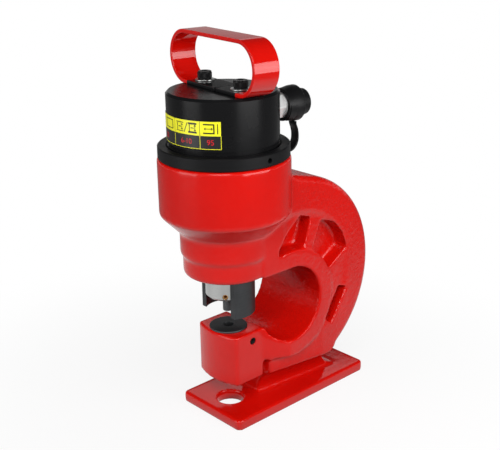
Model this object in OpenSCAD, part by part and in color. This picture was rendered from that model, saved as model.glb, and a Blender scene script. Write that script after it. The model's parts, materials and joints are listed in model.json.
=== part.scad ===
// Portable hydraulic hole punch with a cast C-frame.
// Millimetres, +Z up. The punch axis is the Z axis, the base stands on Z = 0,
// the open front of the throat faces -Y and the back of the frame is at +Y.

/* [Frame] */
// Width of the frame and of the base plate, across X
frame_width = 94; // [92:1:98]
// Length of the base plate along Y
base_length = 201; // [196:1:206]
// Thickness of the base plate
base_thick = 12; // [10:0.5:14]
// How far the base plate reaches ahead of the punch axis
base_front = 29.5; // [27:0.5:31]
// Radius of the base plate's upright corners
base_corner = 5; // [4:0.5:9]
// Radius of the slug hole in the base plate
slug_hole_r = 15; // [12:0.5:16]
// Free height between the base plate and the die boss
slug_gap = 30; // [28:0.5:34]
// Half thickness of the pedestal's foot at its front
pedestal_half = 14; // [12:0.5:18]
// Radius of the hollows under the frame's sides
hollow_r = 33; // [31:1:36]
// Thickness of the frame behind the throat
back_thick = 80.5; // [76:0.5:83]
// Radius of the frame's outer curve
outer_r = 115.5; // [114:0.5:117]
// How far the outer curve's centre lies above the throat's centre
outer_rise = 24; // [22:0.5:26]
// Width of the raised flange around the throat
flange_w = 20; // [18:0.5:21]
// Depth of the pockets in the frame's side faces
pocket_depth = 18; // [12:0.5:20]
// Deepest point of the relief below the throat flange
relief_depth = 15; // [13.5:0.5:15.5]

/* [Throat and die boss] */
// Throat depth, from the punch axis to the back of the throat
throat_depth = 95; // [93:0.5:97]
// Radius of the throat's round back
throat_r = 42.5; // [41.5:0.5:43.5]
// Radius of the throat's lower front, where it rises to the boss
front_r = 30; // [28:1:33]
// Half width of the die boss
boss_half = 31; // [29:0.5:33]
// Height of the die boss
boss_height = 57.5; // [55:0.5:60]
// Distance from the punch axis to the boss's front corners
boss_corner_y = 15.5; // [15.5:0.25:17]
// How far the boss's front bulges ahead of its corners
boss_bulge = 7; // [6:0.5:8]
// Radius of the die's body, inside the boss
die_r = 16.5; // [15.5:0.5:17]
// Radius of the die's flange, on top of the boss
die_flange_r = 20.5; // [19:0.5:20.5]
// Height of the die
die_height = 30; // [26:1:34]
// Thickness of the die's flange
die_flange_t = 2; // [1.5:0.5:3]
// Free height from the die to the cylinder's nose
open_height = 63.5; // [62.5:0.5:64.5]
// Radius of the set screws' M8 thread
set_screw_r = 4; // [3.5:0.5:5]

/* [Cylinder] */
// Height of the barrel's straight part
barrel_height = 59; // [56:1:62]
// Height of the cone below the barrel
cone_height = 20; // [18:0.5:22]
// Radius of the neck below the cone
neck_r = 48.5; // [48:0.5:50]
// Height of the neck
neck_height = 24; // [22:1:26]
// Radius of the nose below the neck
nose_r = 46; // [45.5:0.25:47]
// Height of the nose
nose_height = 23; // [21:0.5:25]
// Height of the lock ring
ring_height = 13; // [11:0.5:15]
// Radius of the cylinder cap
cap_r = 57; // [56:0.5:58]
// Wall of the lock ring around the cap
ring_wall = 10.5; // [9:0.5:12]
// How far the barrel stands out beyond the lock ring
barrel_lip = 1; // [0.5:0.5:3]
// Wall of the cap around the cylinder bore
cap_wall = 12; // [11:0.5:13]
// Height of the cap above the lock ring
cap_rise = 54.5; // [52:0.5:58]
// Thickness of the cap's crown
crown_thick = 18; // [16.5:0.5:19]
// Turn of the cap, the handle and the coupler about the punch axis
head_turn = -8; // [-12:1:0]

/* [Ram and tooling] */
// Radius of the ram
ram_r = 23.5; // [22.5:0.25:24.5]
// Height of the ram's lower face above the die, at rest
ram_gap = 36; // [34:0.5:38]
// Stroke of the ram
stroke = 23; // [20:1:24]
// Thickness of the piston
piston_height = 24; // [22:1:26]
// Radius of the punch
punch_r = 5.4; // [4:0.1:6]
// Height of the punch's tip above the die, at rest
punch_gap = 17.5; // [16:0.5:19]
// Gap between the punch and the die hole, on the radius
punch_clearance = 0.35; // [0.2:0.05:0.6]
// Outer radius of the stripper
stripper_r = 29.5; // [28.5:0.25:30.5]
// Height of the stripper's lower edge above the die
stripper_gap = 18; // [16:0.5:20]
// Distance from the punch axis to the stripper's cut front faces
stripper_front = 13.5; // [12:0.5:15]
// Radius of the return spring's wire
spring_wire_r = 3.2; // [2.8:0.1:3.4]
// Active turns of the return spring
spring_turns = 5; // [4:1:6]

/* [Handle] */
// Width of the handle's flat strip
strip_w = 29; // [26:0.5:31]
// Thickness of the strip
strip_t = 4; // [3.5:0.25:5]
// Height of the handle's loop
loop_height = 55; // [52:0.5:60]
// Half length of the loop's straight runs
loop_half = 49; // [46:0.5:51]
// Half spacing of the handle's screws
screw_half = 32.5; // [31:0.5:34]
// Radius of the handle screws' M8 thread
screw_r = 4; // [3.5:0.5:4.5]

/* [Coupler] */
// Radius of the coupler body
coupler_r = 13.5; // [13:0.25:14]
// Length of the coupler body
coupler_length = 21.5; // [20:0.5:23]
// Travel of the coupler's poppet
poppet_travel = 3; // [2:0.5:3.5]
// Wall of the dust cap
dust_wall = 3.3; // [2.5:0.1:4]
// Length of the dust cap
dust_length = 32; // [30:0.5:34]
// Radius of the dust cap's finger collar
collar_r = 19; // [18.5:0.5:20]

/* [Hidden] */
$fn = 96;

// Radial clearances: a machined slip fit, a running fit and a loose hole
slip = 0.03;
running = 0.05;
loose = 0.5;
// Amount by which a cut runs past the face it opens
past = 1;

// Heights of the frame
boss_bottom_z = base_thick + slug_gap;
boss_top_z = boss_bottom_z + boss_height;
die_top_z = boss_top_z + die_flange_t;
die_seat_z = die_top_z - die_height;
nose_z = die_top_z + open_height;
neck_z = nose_z + nose_height;
cone_z = neck_z + neck_height;
barrel_z = cone_z + cone_height;
barrel_top_z = barrel_z + barrel_height;
half_w = frame_width / 2;

// Throat and outer curve, in the YZ plane
throat_y = throat_depth - throat_r;
throat_z = nose_z - throat_r;
outer_y = throat_depth + back_thick - outer_r;
outer_z = throat_z + outer_rise;
flange_r = throat_r + flange_w;
// The frame's top leaves the outer curve here and runs straight to the barrel
top_slope = 14;
top_y = outer_y + outer_r * sin(top_slope);
top_z = outer_z + outer_r * cos(top_slope);
top_gap = 10;
// Front of the full-width flange, of the web below it and of the upper arm
flange_front_y = throat_y - 3.5;
web_front_y = 22;
upper_front_y = 10;
web_half = half_w - relief_depth;
relief_run = throat_y + 25;
web_inset = 8;
// Side pockets as [y, z] offsets from the throat's centre: beside the barrel, behind the rib,
// and the slim slot at the back; the first two end at the outer rim and at the throat flange
rim_w = 35;
barrel_pocket = [[-20, 67.5], [-4, 84.5], [13, 97.5], [29, 92.5], [20, 64.5], [10, 51.5],
    [-20, 51.5]];
rear_pocket = [[31, 51.5], [45, 85.5], [64.5, 78.5], [92.5, 47.5], [59.5, 27], [31, 27]];
slot_pocket = [[74.5, -1], [86.5, -4], [62, -42], [54, -36]];

// Pedestal below the frame
pedestal_front_y = web_front_y + 7.5;
pedestal_back_y = 118;
pedestal_sweep = slug_gap;
// Angle at which the pedestal's foot widens towards the back
foot_spread = 6;

// Die set screw, in the boss's right side
die_screw_y = 7.5;
die_screw_drop = 12.5;
die_screw_z = die_top_z - die_screw_drop;
die_screw_tip_x = 11.5;
die_screw_length = 14;
dog_share = 0.7;
dog_length = 3.5;
socket_share = 0.35;
notch_half = set_screw_r + 0.5;
slug_bore_r = 12;
die_relief_r = 9;
die_land = 8;
die_bevel = 0.6;

// Cylinder: spring chamber in the barrel, cylinder bore in the cap
nose_round = 4;
spigot_depth = 10;
wiper_height = 3;
bush_r = ram_r + 5.5;
bush_height = 30;
spring_seat_z = nose_z + spigot_depth + wiper_height + bush_height;
ring_r = cap_r + ring_wall;
barrel_r = ring_r + barrel_lip;
bore_r = cap_r - cap_wall;
chamber_step = 5;
chamber_r = bore_r - chamber_step;
ring_top_z = barrel_top_z + ring_height;
cap_top_z = ring_top_z + cap_rise;
cap_chamfer = 2.5;
bore_top_z = cap_top_z - crown_thick;
undercut = 1.5;
undercut_height = 4;
spanner_r = 2.7;
spanner_depth = 8;
spanner_count = 3;

// Ram, piston and return spring, at rest at the top of the stroke
ram_bottom_z = die_top_z + ram_gap;
piston_rest_gap = 22;
piston_z = bore_top_z - piston_rest_gap - piston_height;
cap_skirt = 19;
cap_bottom_z = piston_z - stroke - cap_skirt;
tail_r = 14;
nut_height = 9;
nut_flats = 44;
groove_depth = 5;
groove_height = 6;
groove_margin = 4;
wear_z = piston_z + groove_margin;
seal_z = piston_z + piston_height - groove_margin - groove_height;
ram_chamfer = 2.5;
spring_mean_r = (ram_r + chamber_r) / 2;
spring_steps = 24;
spring_sides = 10;
punch_head_r = punch_r + 3;
punch_head_height = 6;
punch_socket = 22;
punch_bottom_z = die_top_z + punch_gap;
punch_screw_z = ram_bottom_z + 5.5;
punch_screw_turn = -47;
punch_screw_r = 3;
punch_screw_sink = 2;
stripper_bottom_z = die_top_z + stripper_gap;
stripper_bore_r = ram_r + loose;
stripper_screw_z = nose_z + spigot_depth / 2;
stripper_screw_length = 10;

// Handle
handle_z = cap_top_z;
loop_r = loop_height / 2;
feet_gap = 2;
feet_split = 8.5;
washer_r = 10;
washer_t = 1.6;
head_r = 7;
head_height = 8;
socket_flats = 6;
socket_depth = 4;
screw_bite = 13;
screw_spare = 2;

// Label plate wrapped on the cap
label_t = 0.4;
label_z = ring_top_z + 7;
label_height = 27;
label_start = -131;
label_angle = 88;

// Coupler: distances along its own axis, measured from the punch axis
port_r = 6.5;
port_margin = 1;
port_z = bore_top_z - port_r - port_margin;
spot_r = 15;
spot_s = cap_r - 1.5;
seal_t = 1.5;
neck_s = spot_s + seal_t;
strap_seat_length = 3.5;
strap_seat_r = 11;
hex_s = neck_s + strap_seat_length;
hex_flats = 24;
hex_length = 9;
body_s = hex_s + hex_length;
spigot_r = 9;
spigot_length = 6;
poppet_r = 7;
poppet_head = 3;
spring_room = 4;
chamber_length = poppet_head + poppet_travel + spring_room;
stem_r = 3.5;
seat_s = body_s + spigot_length + chamber_length;
nose_s = body_s + coupler_length;
coupler_nose_r = coupler_r - 3;
shoulder_s = body_s + 10;
coupler_wire_r = 0.35;
coupler_spring_r = poppet_r - 2;
coupler_spring_turns = 2;
coupler_spring_steps = 16;
coupler_spring_sides = 6;
seal_wire_r = 1;
seal_r = coupler_nose_r - 0.7;
seal_s = nose_s - 4;
dust_gap = 0.4;
dust_s = body_s + 1;
dust_bore_r = coupler_r + dust_gap;
dust_r = dust_bore_r + dust_wall;
collar_s = dust_s + 13;
collar_length = 8;
button_r = 14;
button_edge = 2.5;

// Strap from the dust cap's collar back to the adapter's neck: a flat section on a route by hand.
// Each point is [share of the way from the neck to the collar, share of the hang]; the first run
// hangs from the collar, and the second ends on the strap's own ring. On its way back the strap
// leans to the far side.
strap_w = 12;
strap_t = 2.4;
strap_ring_t = 2.6;
strap_gap = 0.3;
strap_clear = 25;
strap_lean = 7;
lean_start = 0.8;
lean_end = 0.43;
strap_ring_r = strap_seat_r + strap_gap + strap_ring_t;
collar_mid_s = collar_s + collar_length / 2;
below_strap_z = min(top_z + (top_y - collar_mid_s) * tan(top_slope), barrel_top_z - top_gap);
strap_hang = port_z - collar_r - below_strap_z - strap_clear;
collar_run = [[1, 0], [1, 0.08], [1.066, 0.27], [1.098, 0.5], [1.07, 0.72], [0.967, 0.89],
    [0.803, 0.99], [0.639, 0.97], [0.525, 0.84], [0.469, 0.64], [0.433, 0.42]];
ring_run = [[0.36, 0.4], [0.246, 0.2], [0.082, 0]];
function strap_s(share) = neck_s + share * (collar_mid_s - neck_s);
function strap_x(share) =
    -strap_lean * max(0, min(1, (lean_start - share) / (lean_start - lean_end)));
strap_route = concat(
    [for (p = collar_run) [strap_s(p[0]), -collar_r - strap_gap - p[1] * strap_hang]],
    [for (p = ring_run) [strap_s(p[0]), -strap_ring_r - p[1] * strap_hang]]);
strap_side = [for (p = concat(collar_run, ring_run)) strap_x(p[0])];

// Colours
red = [0.78, 0.05, 0.04];
black = [0.06, 0.06, 0.07];
steel = [0.72, 0.73, 0.75];
dark_steel = [0.22, 0.22, 0.24];
brass = [0.78, 0.6, 0.28];
bronze = [0.66, 0.47, 0.24];
rubber = [0.05, 0.05, 0.05];
label_yellow = [0.96, 0.9, 0.1];

// Turns a drawing in the YZ plane into a slab that is centred on X
module slab(width) {
    rotate([90, 0, 90]) translate([0, 0, -width / 2]) linear_extrude(width) children();
}

// A plain ring between two radii
module tube(outer, inner, height) {
    difference() {
        cylinder(r = outer, h = height);
        translate([0, 0, -past]) cylinder(r = inner, h = height + 2 * past);
    }
}

// A hexagonal prism by its width across flats
module hexagon(flats, height) {
    cylinder(r = flats / sqrt(3), h = height, $fn = 6);
}

// A rectangle with round corners, from its lower left corner
module rounded_rect(size, r) {
    translate([r, 0]) square([size[0] - 2 * r, size[1]]);
    translate([0, r]) square([size[0], size[1] - 2 * r]);
    for (x = [r, size[0] - r], y = [r, size[1] - r]) translate([x, y]) circle(r);
}

// Places its children in the frame of the turned head
module on_head() {
    rotate([0, 0, head_turn]) children();
}

// Places its children on the coupler's axis, with +Z pointing out of the port
module on_port() {
    on_head() translate([0, 0, port_z]) rotate([-90, 0, 0]) children();
}

// Sweeps a closed section along a list of ring points
module loft(rings) {
    sides = len(rings[0]);
    last = len(rings) - 1;
    polyhedron(
        points = [for (ring = rings) each ring],
        faces = concat(
            [[for (i = [0 : sides - 1]) i]],
            [[for (i = [sides - 1 : -1 : 0]) last * sides + i]],
            [for (j = [0 : last - 1], i = [0 : sides - 1])
                [j * sides + i, (j + 1) * sides + i,
                 (j + 1) * sides + (i + 1) % sides, j * sides + (i + 1) % sides]]));
}

// A coil spring with one closed turn at each end, standing on Z = 0
module coil(mean_r, wire_r, height, turns, steps, sides) {
    closed = 1;
    all_turns = turns + 2 * closed;
    lead = (height - 2 * wire_r * (1 + 2 * closed)) / turns;
    function rise(t) = wire_r + 2 * wire_r * min(t, closed)
        + lead * max(0, min(t - closed, turns)) + 2 * wire_r * max(0, t - closed - turns);
    loft([for (k = [0 : all_turns * steps]) let (t = k / steps, turn = 360 * t)
        [for (i = [0 : sides - 1]) let (a = -360 * i / sides, r = mean_r + wire_r * cos(a))
            [r * cos(turn), r * sin(turn), rise(t) + wire_r * sin(a)]]]);
}

// Base plate and frame casting

module base_plate() {
    color(red) difference() {
        translate([-half_w, -base_front, 0])
            linear_extrude(base_thick) rounded_rect([frame_width, base_length], base_corner);
        translate([0, 0, -past]) cylinder(r = slug_hole_r, h = base_thick + 2 * past);
    }
}

// Pedestal below the frame, with a hollow sweep at its back
module pedestal() {
    run = pedestal_back_y + pedestal_sweep - pedestal_front_y;
    slab(frame_width) difference() {
        translate([pedestal_front_y, base_thick]) square([run, slug_gap + past]);
        translate([pedestal_back_y + pedestal_sweep, boss_bottom_z]) circle(pedestal_sweep);
        translate([pedestal_back_y, boss_bottom_z]) square([pedestal_sweep + past, 2 * past]);
    }
}

// Round hollows that narrow the pedestal's sides and spread towards the back
module side_hollows() {
    for (side = [0, 1]) mirror([side, 0, 0])
        translate([pedestal_half + hollow_r, pedestal_front_y, base_thick])
            rotate([-90, 0, -foot_spread]) translate([0, 0, -hollow_r])
                cylinder(r = hollow_r, h = base_length + 2 * hollow_r);
}

// Side view of the C: the outer curve with its straight top, cut by the throat
module c_outline() {
    difference() {
        union() {
            intersection() {
                translate([outer_y, outer_z]) circle(outer_r);
                translate([upper_front_y, boss_bottom_z])
                    square([outer_y + outer_r, outer_z + outer_r]);
            }
            polygon([[upper_front_y, outer_z], [outer_y, outer_z], [top_y, top_z],
                [upper_front_y, top_z + (top_y - upper_front_y) * tan(top_slope)]]);
        }
        translate([-past, barrel_top_z - top_gap]) square([outer_y + outer_r, outer_r]);
        translate([throat_y, throat_z]) circle(throat_r);
        translate([-past, -past]) square([throat_y + past, nose_z + past]);
    }
}

// Throat with its tighter lower front, up to the boss's top
module throat_outline() {
    difference() {
        translate([throat_y, throat_z]) circle(throat_r);
        difference() {
            translate([throat_y - throat_r - past, throat_z - throat_r - past])
                square([throat_r + past, boss_top_z - throat_z + throat_r + past]);
            translate([throat_y, throat_z - throat_r + front_r]) circle(front_r);
        }
    }
}

// Raised flange around the throat, with a straight lower edge forward to the boss
module flange_outline() {
    translate([throat_y, throat_z]) circle(flange_r);
    translate([0, throat_z - flange_r]) square([throat_y, flange_r]);
}

// Lower arm from the flange forward to the boss, seen from above
module arm_plan() {
    polygon([[-boss_half, web_front_y], [boss_half, web_front_y], [half_w, flange_front_y],
        [half_w, throat_y + past], [-half_w, throat_y + past], [-half_w, flange_front_y]]);
}

// Half of the web below the flange, seen from above: a core at the boss, a step at the pedestal's
// front, and a side that widens towards the back
module web_plan() {
    core = boss_half - web_inset;
    function side_x(y) = web_half + relief_depth * (y - web_front_y) / relief_run;
    polygon([[0, web_front_y], [core, web_front_y], [core, pedestal_front_y],
        [side_x(pedestal_front_y), pedestal_front_y], [side_x(throat_y + past), throat_y + past],
        [0, throat_y + past]]);
}

// Die boss seen from above: flat sides and a shallow round front
module boss_plan() {
    bulge_r = (boss_half * boss_half + boss_bulge * boss_bulge) / (2 * boss_bulge);
    translate([-boss_half, -boss_corner_y])
        square([2 * boss_half, boss_corner_y + web_front_y + past]);
    intersection() {
        translate([0, bulge_r - boss_corner_y - boss_bulge]) circle(bulge_r);
        translate([-boss_half, -boss_corner_y - boss_bulge - past])
            square([2 * boss_half, boss_bulge + 2 * past]);
    }
}

// Boss, and the flange's arm that reaches it
module boss_and_arm() {
    translate([0, 0, boss_bottom_z]) linear_extrude(boss_height) boss_plan();
    intersection() {
        translate([0, 0, boss_bottom_z]) linear_extrude(boss_height) arm_plan();
        slab(frame_width + 2 * past) flange_outline();
    }
}

// Web below the flange, from the boss back into the C
module web() {
    translate([0, 0, boss_bottom_z]) linear_extrude(boss_height / 2)
        for (side = [0, 1]) mirror([side, 0]) web_plan();
}

// Barrel, cone, neck and nose as one turned outline
module barrel_outline() {
    polygon([[0, nose_z + nose_round], [nose_r, nose_z + nose_round], [nose_r, neck_z],
        [neck_r, neck_z], [neck_r, cone_z], [barrel_r, barrel_z], [barrel_r, barrel_top_z],
        [0, barrel_top_z]]);
    translate([0, nose_z]) square([nose_r - nose_round, 2 * nose_round]);
    translate([nose_r - nose_round, nose_z + nose_round]) circle(nose_round);
}

// Bores along the punch axis inside the barrel
module barrel_bores() {
    translate([0, 0, nose_z - past])
        cylinder(r = stripper_r + slip, h = spigot_depth + past);
    translate([0, 0, nose_z])
        cylinder(r = bush_r + slip, h = spring_seat_z - nose_z + past);
    translate([0, 0, spring_seat_z])
        cylinder(r = chamber_r, h = barrel_top_z - spring_seat_z);
    translate([0, 0, cap_bottom_z])
        cylinder(r = cap_r + slip, h = barrel_top_z - cap_bottom_z + past);
}

// Side pockets in the YZ plane
module pocket_outlines() {
    difference() {
        intersection() {
            translate([outer_y, outer_z]) circle(outer_r - rim_w);
            translate([throat_y, throat_z]) {
                polygon(barrel_pocket);
                polygon(rear_pocket);
            }
        }
        translate([throat_y, throat_z]) circle(flange_r);
    }
    translate([throat_y, throat_z]) polygon(slot_pocket);
}

// Relief in the side faces below the throat flange, running out towards the back
module side_relief() {
    for (side = [0, 1]) mirror([side, 0, 0]) difference() {
        translate([web_half, web_front_y, boss_bottom_z - past])
            rotate([0, 0, -atan2(relief_depth, relief_run)])
                cube([2 * relief_depth, relief_run + 4 * relief_depth, flange_r]);
        slab(3 * frame_width) flange_outline();
    }
}

module c_frame() {
    color(red) difference() {
        union() {
            difference() {
                union() {
                    pedestal();
                    slab(frame_width) c_outline();
                    web();
                }
                side_hollows();
                side_relief();
                for (side = [-1, 1]) translate([side * half_w, 0, 0])
                    slab(2 * pocket_depth) pocket_outlines();
            }
            boss_and_arm();
            rotate_extrude() barrel_outline();
        }
        slab(2 * frame_width) throat_outline();
        barrel_bores();
        translate([0, 0, boss_bottom_z - past]) cylinder(r = slug_bore_r, h = boss_height);
        translate([0, 0, die_seat_z]) cylinder(r = die_r + slip, h = die_height);
        translate([0, die_screw_y, die_screw_z]) rotate([0, 90, 0])
            cylinder(r = set_screw_r + slip, h = boss_half + past);
        translate([0, 0, stripper_screw_z]) rotate([0, -90, 0])
            cylinder(r = set_screw_r + slip, h = nose_r + past);
    }
}

// Tooling and ram

module die() {
    color(dark_steel) difference() {
        rotate_extrude() polygon([[punch_r + punch_clearance, die_top_z],
            [punch_r + punch_clearance, die_top_z - die_land], [die_relief_r, die_top_z - die_land],
            [die_relief_r, die_seat_z], [die_r, die_seat_z], [die_r, boss_top_z],
            [die_flange_r, boss_top_z], [die_flange_r, die_top_z - die_bevel],
            [die_flange_r - die_bevel, die_top_z]]);
        translate([die_screw_tip_x, die_screw_y - notch_half, die_screw_z - notch_half])
            cube([die_r, 2 * notch_half, 2 * notch_half]);
    }
}

// A set screw along +Z with its dog point at the origin and its hexagon socket at the top
module set_screw(r, length) {
    difference() {
        union() {
            cylinder(r = dog_share * r, h = length);
            translate([0, 0, dog_length]) cylinder(r = r, h = length - dog_length);
        }
        translate([0, 0, length * (1 - socket_share)]) hexagon(r, length);
    }
}

module die_screw() {
    color(dark_steel) translate([die_screw_tip_x, die_screw_y, die_screw_z])
        rotate([0, 90, 0]) set_screw(set_screw_r, die_screw_length);
}

module punch() {
    top_z = ram_bottom_z + punch_socket;
    color(dark_steel) rotate_extrude() polygon([[0, punch_bottom_z], [punch_r, punch_bottom_z],
        [punch_r, top_z - punch_head_height], [punch_head_r, top_z - punch_head_height],
        [punch_head_r, top_z], [0, top_z]]);
}

// The punch screw bears on the punch and stops short of the ram's skin
module punch_screw() {
    color(brass) translate([0, 0, punch_screw_z]) rotate([0, 0, punch_screw_turn])
        translate([punch_r + slip, 0, 0]) rotate([0, 90, 0])
            set_screw(punch_screw_r, ram_r - punch_r - punch_screw_sink);
}

module ram() {
    tail_z = piston_z + piston_height + nut_height;
    socket_top = ram_bottom_z + punch_socket;
    color(steel) difference() {
        rotate_extrude() polygon([[0, ram_bottom_z], [ram_r - ram_chamfer, ram_bottom_z],
            [ram_r, ram_bottom_z + ram_chamfer], [ram_r, piston_z], [tail_r, piston_z],
            [tail_r, tail_z], [0, tail_z]]);
        translate([0, 0, ram_bottom_z - past])
            cylinder(r = punch_r + slip, h = punch_socket);
        translate([0, 0, socket_top - punch_head_height])
            cylinder(r = punch_head_r + slip, h = punch_head_height);
        translate([0, 0, punch_screw_z]) rotate([0, 0, punch_screw_turn]) rotate([0, 90, 0])
            cylinder(r = punch_screw_r + slip, h = ram_r + past);
    }
}

module rod_bush() {
    color(bronze) translate([0, 0, spring_seat_z - bush_height])
        tube(bush_r, ram_r + running, bush_height);
}

module rod_wiper() {
    color(rubber) translate([0, 0, nose_z + spigot_depth])
        tube(bush_r, ram_r + running, wiper_height);
}

module piston() {
    color(steel) difference() {
        translate([0, 0, piston_z]) tube(bore_r - running, tail_r + slip, piston_height);
        for (z = [wear_z, seal_z]) translate([0, 0, z])
            tube(bore_r + past, bore_r - groove_depth, groove_height);
    }
}

module piston_nut() {
    color(dark_steel) translate([0, 0, piston_z + piston_height]) difference() {
        hexagon(nut_flats, nut_height);
        translate([0, 0, -past]) cylinder(r = tail_r + slip, h = nut_height + 2 * past);
    }
}

module piston_seal() {
    color(rubber) translate([0, 0, seal_z])
        tube(bore_r - slip, bore_r - groove_depth + slip, groove_height);
}

module wear_ring() {
    color(bronze) translate([0, 0, wear_z])
        tube(bore_r - slip, bore_r - groove_depth + slip, groove_height);
}

module return_spring() {
    color(dark_steel) translate([0, 0, spring_seat_z])
        coil(spring_mean_r, spring_wire_r, piston_z - spring_seat_z, spring_turns,
            spring_steps, spring_sides);
}

module stripper() {
    color(dark_steel) difference() {
        translate([0, 0, stripper_bottom_z])
            tube(stripper_r, stripper_bore_r, nose_z + spigot_depth - stripper_bottom_z);
        translate([-stripper_r - past, -2 * stripper_r - stripper_front, stripper_bottom_z - past])
            cube([2 * (stripper_r + past), 2 * stripper_r, nose_z - stripper_bottom_z + past]);
        translate([0, 0, stripper_screw_z]) rotate([0, -90, 0]) translate([0, 0, ram_r])
            cylinder(r = dog_share * set_screw_r + slip, h = stripper_r);
    }
}

module stripper_screw() {
    color(dark_steel) translate([-stripper_r + dog_length - slip, 0, stripper_screw_z])
        rotate([0, -90, 0]) set_screw(set_screw_r, stripper_screw_length);
}

// Cap and lock ring

module lock_ring() {
    edge = 1;
    bevel = 2;
    inner = cap_r + slip;
    color(black) difference() {
        translate([0, 0, barrel_top_z]) rotate_extrude() polygon([[inner, 0], [ring_r - edge, 0],
            [ring_r, edge], [ring_r, ring_height - edge], [ring_r - edge, ring_height],
            [inner + bevel, ring_height], [inner, ring_height - bevel]]);
        for (i = [0 : spanner_count - 1]) translate([0, 0, barrel_top_z + ring_height / 2])
            rotate([0, 0, i * 360 / spanner_count]) rotate([0, 90, 0])
                translate([0, 0, ring_r - spanner_depth])
                    cylinder(r = spanner_r, h = spanner_depth + past);
    }
}

module cylinder_cap() {
    color(black) difference() {
        rotate_extrude() polygon([[bore_r, cap_bottom_z], [cap_r, cap_bottom_z],
            [cap_r, ring_top_z], [cap_r - undercut, ring_top_z],
            [cap_r - undercut, ring_top_z + undercut_height], [cap_r, ring_top_z + undercut_height],
            [cap_r, cap_top_z - cap_chamfer], [cap_r - cap_chamfer, cap_top_z], [0, cap_top_z],
            [0, bore_top_z], [bore_r, bore_top_z]]);
        on_head() for (side = [-1, 1])
            translate([side * screw_half, 0, cap_top_z - screw_bite - screw_spare])
                cylinder(r = screw_r + slip, h = screw_bite + screw_spare + past);
        on_port() {
            translate([0, 0, bore_r / 2]) cylinder(r = port_r + slip, h = cap_r);
            translate([0, 0, spot_s]) cylinder(r = spot_r, h = cap_r);
        }
    }
}

module label_plate() {
    color(label_yellow) translate([0, 0, label_z]) rotate([0, 0, label_start])
        rotate_extrude(angle = label_angle) translate([cap_r + slip, 0])
            square([label_t, label_height]);
}

// Handle

// The loop's outline, shrunk on all sides by inset
module loop_outline(inset) {
    for (side = [-1, 1]) translate([side * loop_half, loop_r]) circle(loop_r - inset);
    translate([-loop_half, inset]) square([2 * loop_half, loop_height - 2 * inset]);
}

module handle() {
    color(red) on_head() translate([0, 0, handle_z]) difference() {
        rotate([90, 0, 0]) translate([0, 0, -strip_w / 2]) linear_extrude(strip_w) difference() {
            loop_outline(0);
            loop_outline(strip_t);
            translate([feet_split - feet_gap / 2, -past]) square([feet_gap, strip_t + 2 * past]);
        }
        for (side = [-1, 1]) translate([side * screw_half, 0, -past])
            cylinder(r = screw_r + loose, h = strip_t + 2 * past);
    }
}

// A socket-head screw and its washer stand on each foot of the handle
module handle_screw(side) {
    head_z = handle_z + strip_t + washer_t;
    shank = washer_t + strip_t + screw_bite;
    color(black) on_head() translate([side * screw_half, 0, head_z]) difference() {
        union() {
            cylinder(r = head_r, h = head_height);
            translate([0, 0, -shank]) cylinder(r = screw_r, h = shank + past);
        }
        translate([0, 0, head_height - socket_depth]) hexagon(socket_flats, head_height);
    }
}

module handle_washer(side) {
    color(steel) on_head() translate([side * screw_half, 0, handle_z + strip_t])
        tube(washer_r, screw_r + slip, washer_t);
}

module handle_screw_left() { handle_screw(-1); }
module handle_screw_right() { handle_screw(1); }
module handle_washer_left() { handle_washer(-1); }
module handle_washer_right() { handle_washer(1); }

// Coupler

module port_seal() {
    color(bronze) on_port() translate([0, 0, spot_s]) tube(strap_seat_r, port_r + slip, seal_t);
}

module coupler_adapter() {
    oil_r = 3;
    color(steel) on_port() difference() {
        union() {
            translate([0, 0, bore_r + past]) cylinder(r = port_r, h = neck_s - bore_r);
            translate([0, 0, neck_s]) cylinder(r = strap_seat_r, h = strap_seat_length + past);
            translate([0, 0, hex_s]) hexagon(hex_flats, hex_length);
            translate([0, 0, body_s - past]) cylinder(r = spigot_r, h = spigot_length + past);
        }
        translate([0, 0, bore_r]) cylinder(r = oil_r, h = cap_r);
    }
}

module coupler_body() {
    edge = 0.6;
    color(steel) on_port() rotate_extrude() difference() {
        polygon([[0, body_s], [coupler_r - edge, body_s], [coupler_r, body_s + edge],
            [coupler_r, shoulder_s - edge], [coupler_r - edge, shoulder_s],
            [coupler_nose_r, shoulder_s], [coupler_nose_r, nose_s - edge],
            [coupler_nose_r - edge, nose_s], [0, nose_s]]);
        translate([0, body_s - past]) square([spigot_r + slip, spigot_length + past]);
        translate([0, body_s]) square([poppet_r + running, seat_s - body_s]);
        translate([0, seat_s - past]) square([stem_r + running, nose_s - seat_s + 2 * past]);
        translate([seal_r, seal_s]) circle(seal_wire_r + slip);
    }
}

module coupler_spring() {
    height = seat_s - poppet_head - (body_s + spigot_length);
    color(steel) on_port() translate([0, 0, body_s + spigot_length])
        coil(coupler_spring_r, coupler_wire_r, height, coupler_spring_turns,
            coupler_spring_steps, coupler_spring_sides);
}

module coupler_poppet() {
    color(brass) on_port() {
        translate([0, 0, seat_s - poppet_head]) cylinder(r = poppet_r, h = poppet_head);
        translate([0, 0, seat_s - past]) cylinder(r = stem_r, h = nose_s - seat_s + past);
    }
}

module coupler_seal() {
    color(rubber) on_port() rotate_extrude()
        translate([seal_r, seal_s]) circle(seal_wire_r);
}

module dust_cap() {
    end_s = dust_s + dust_length;
    button_s = collar_s + collar_length;
    color(rubber) on_port() rotate_extrude() difference() {
        union() {
            translate([0, dust_s]) square([dust_r, button_s - dust_s]);
            translate([0, collar_s]) square([collar_r, collar_length]);
            polygon([[0, button_s - past], [button_r, button_s - past], [button_r, end_s - button_edge],
                [button_r - button_edge, end_s], [0, end_s]]);
        }
        translate([0, dust_s - past]) square([dust_bore_r, shoulder_s + 2 * dust_gap - dust_s + past]);
        translate([0, dust_s]) square([coupler_nose_r + dust_gap, nose_s + 2 * dust_gap - dust_s]);
    }
}

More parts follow.
